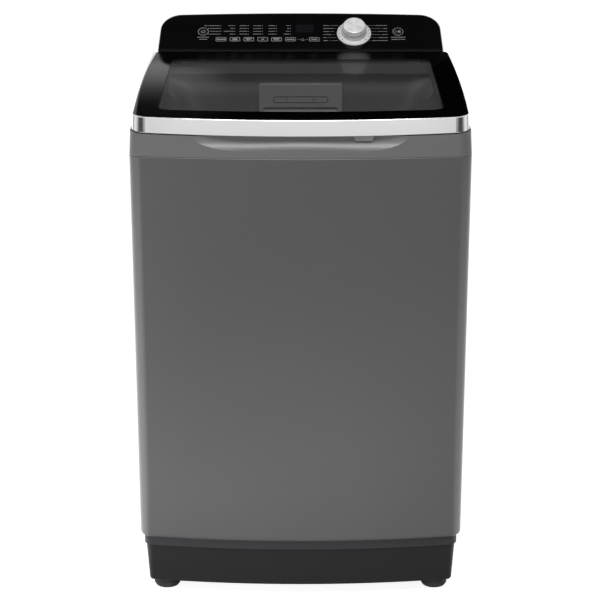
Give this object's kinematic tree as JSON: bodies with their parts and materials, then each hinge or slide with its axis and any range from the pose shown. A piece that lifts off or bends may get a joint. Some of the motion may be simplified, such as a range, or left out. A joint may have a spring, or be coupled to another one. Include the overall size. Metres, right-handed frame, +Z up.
{
  "type": "top load washing machine",
  "caption": "Top-loading washing machine: bowed grey casing, tinted glass lid with bright bar, sloped console with dial and keys, dispenser drawer, hanging tub, spinning basket and pulsator.",
  "frame": {"origin": "on the floor under the middle of the machine", "axes": "+X to the right seen from the front, +Y to the back, +Z up"},
  "size_m": [0.6, 0.625, 1.0156],
  "materials": {
    "body_paint": "satin grey metallic paint",
    "rear_steel": "galvanised sheet",
    "plinth_plastic": "dark grey moulded plastic",
    "foot_plastic": "moulded rubber",
    "cover_plastic": "satin grey moulded plastic",
    "fascia_gloss": "piano black",
    "display_smoke": "smoked acrylic",
    "board_green": "coated circuit board",
    "dial_pale": "pale satin",
    "knob_silver": "turned and brushed",
    "key_black": "black caps with pale outline",
    "lid_bright": "bright plated",
    "lid_pane": "tinted tempered glass with black printed border",
    "lid_lining": "grey moulded plastic",
    "pin_steel": "bright steel",
    "latch_plastic": "grey plastic",
    "buffer_rubber": "soft rubber",
    "drawer_plastic": "satin grey plastic",
    "cap_blue": "blue plastic",
    "valve_white": "white plastic",
    "tub_plastic": "pale filled polypropylene",
    "casting": "as cast",
    "lamination": "varnished laminations",
    "copper": "enamelled copper",
    "rotor_steel": "zinc plated",
    "magnet": "ferrite",
    "basket_steel": "stainless steel",
    "basket_plastic": "grey plastic",
    "pulsator_plastic": "polished grey plastic",
    "filter_plastic": "blue grey plastic with mesh",
    "spring_steel": "spring wire"
  },
  "bodies": {
    "casing": {"cabinet_shell": "body_paint", "rear_panel": "rear_steel", "base_plinth": "plinth_plastic", "rear_feet": "foot_plastic", "top_cover": "cover_plastic", "console_housing": "cover_plastic", "control_fascia": "fascia_gloss", "display_lens": "display_smoke", "control_board": "board_green", "dial_ring": "dial_pale", "dispenser_housing": "drawer_plastic", "inlet_valve": "valve_white", "lid_lock": "latch_plastic", "corner_brackets": "rear_steel", "suspension_rods": "pin_steel", "suspension_springs": "spring_steel", "cord_gland": "buffer_rubber", "drain_outlet": "valve_white", "case_screws": "pin_steel"},
    "front_foot_left": {"foot_left": "foot_plastic"},
    "front_foot_right": {"foot_right": "foot_plastic"},
    "tub": {"outer_tub": "tub_plastic", "tub_cover": "tub_plastic", "bearing_housing": "casting", "shaft_bearings": "pin_steel", "tub_seal": "buffer_rubber", "stator_core": "lamination", "stator_coils": "copper", "drain_valve": "valve_white", "damper_cups": "tub_plastic"},
    "basket": {"basket_wall": "basket_steel", "basket_base": "basket_plastic", "balance_ring": "basket_plastic", "basket_flange": "casting", "spin_tube": "pin_steel", "lint_filters": "filter_plastic"},
    "drive": {"pulsator": "pulsator_plastic", "pulsator_screw": "pin_steel", "wash_shaft": "pin_steel", "rotor_cup": "rotor_steel", "rotor_magnets": "magnet"},
    "lid": {"lid_frame": "lid_bright", "lid_glass": "lid_pane", "lid_liner": "lid_lining", "hinge_pins": "pin_steel", "latch_tab": "latch_plastic", "lid_buffers": "buffer_rubber"},
    "drawer": {"detergent_drawer": "drawer_plastic", "softener_cap": "cap_blue"},
    "knob": {"program_knob": "knob_silver"},
    "power_key": {"power_button": "key_black"},
    "start_key": {"start_button": "key_black"},
    "function_key_1": {"key_1": "key_black"},
    "function_key_2": {"key_2": "key_black"},
    "function_key_3": {"key_3": "key_black"},
    "function_key_4": {"key_4": "key_black"},
    "function_key_5": {"key_5": "key_black"},
    "function_key_6": {"key_6": "key_black"},
    "function_key_7": {"key_7": "key_black"}
  },
  "joints": [
    {"name": "lid_hinge", "type": "hinge", "parent": "casing", "child": "lid", "pos_m": [0, 0.18629, 0.93812], "axis": [-1, 0, 0], "range_deg": [0, 92]},
    {"name": "drawer_slide", "type": "slide", "parent": "casing", "child": "drawer", "axis": [0, -1, 0], "range_m": [0, 0.105]},
    {"name": "knob_turn", "type": "hinge", "parent": "casing", "child": "knob", "pos_m": [0.1076, 0.23757, 0.9808], "axis": [0, -0.6035, 0.7974], "continuous": true},
    {"name": "power_press", "type": "slide", "parent": "casing", "child": "power_key", "axis": [0, 0.6035, -0.7974], "range_m": [0, 0.0012], "stiffness_N_per_m": 900},
    {"name": "start_press", "type": "slide", "parent": "casing", "child": "start_key", "axis": [0, 0.6035, -0.7974], "range_m": [0, 0.0012], "stiffness_N_per_m": 900},
    {"name": "key_1_press", "type": "slide", "parent": "casing", "child": "function_key_1", "axis": [0, 0.6035, -0.7974], "range_m": [0, 0.0012], "stiffness_N_per_m": 900},
    {"name": "key_2_press", "type": "slide", "parent": "casing", "child": "function_key_2", "axis": [0, 0.6035, -0.7974], "range_m": [0, 0.0012], "stiffness_N_per_m": 900},
    {"name": "key_3_press", "type": "slide", "parent": "casing", "child": "function_key_3", "axis": [0, 0.6035, -0.7974], "range_m": [0, 0.0012], "stiffness_N_per_m": 900},
    {"name": "key_4_press", "type": "slide", "parent": "casing", "child": "function_key_4", "axis": [0, 0.6035, -0.7974], "range_m": [0, 0.0012], "stiffness_N_per_m": 900},
    {"name": "key_5_press", "type": "slide", "parent": "casing", "child": "function_key_5", "axis": [0, 0.6035, -0.7974], "range_m": [0, 0.0012], "stiffness_N_per_m": 900},
    {"name": "key_6_press", "type": "slide", "parent": "casing", "child": "function_key_6", "axis": [0, 0.6035, -0.7974], "range_m": [0, 0.0012], "stiffness_N_per_m": 900},
    {"name": "key_7_press", "type": "slide", "parent": "casing", "child": "function_key_7", "axis": [0, 0.6035, -0.7974], "range_m": [0, 0.0012], "stiffness_N_per_m": 900},
    {"name": "tub_travel", "type": "slide", "parent": "casing", "child": "tub", "axis": [0, 0, 1], "range_m": [-0.02, 0.008], "stiffness_N_per_m": 20000, "springref_m": 0.01396, "deforming": ["suspension_springs"]},
    {"name": "basket_spin", "type": "hinge", "parent": "tub", "child": "basket", "pos_m": [0, 0.0125, 0.266], "axis": [0, 0, 1], "continuous": true},
    {"name": "drive_turn", "type": "hinge", "parent": "tub", "child": "drive", "pos_m": [0, 0.0125, 0.14], "axis": [0, 0, 1], "continuous": true},
    {"name": "foot_left_screw", "type": "slide", "parent": "casing", "child": "front_foot_left", "axis": [0, 0, -1], "range_m": [0, 0.012]},
    {"name": "foot_right_screw", "type": "slide", "parent": "casing", "child": "front_foot_right", "axis": [0, 0, -1], "range_m": [0, 0.012]}
  ]
}
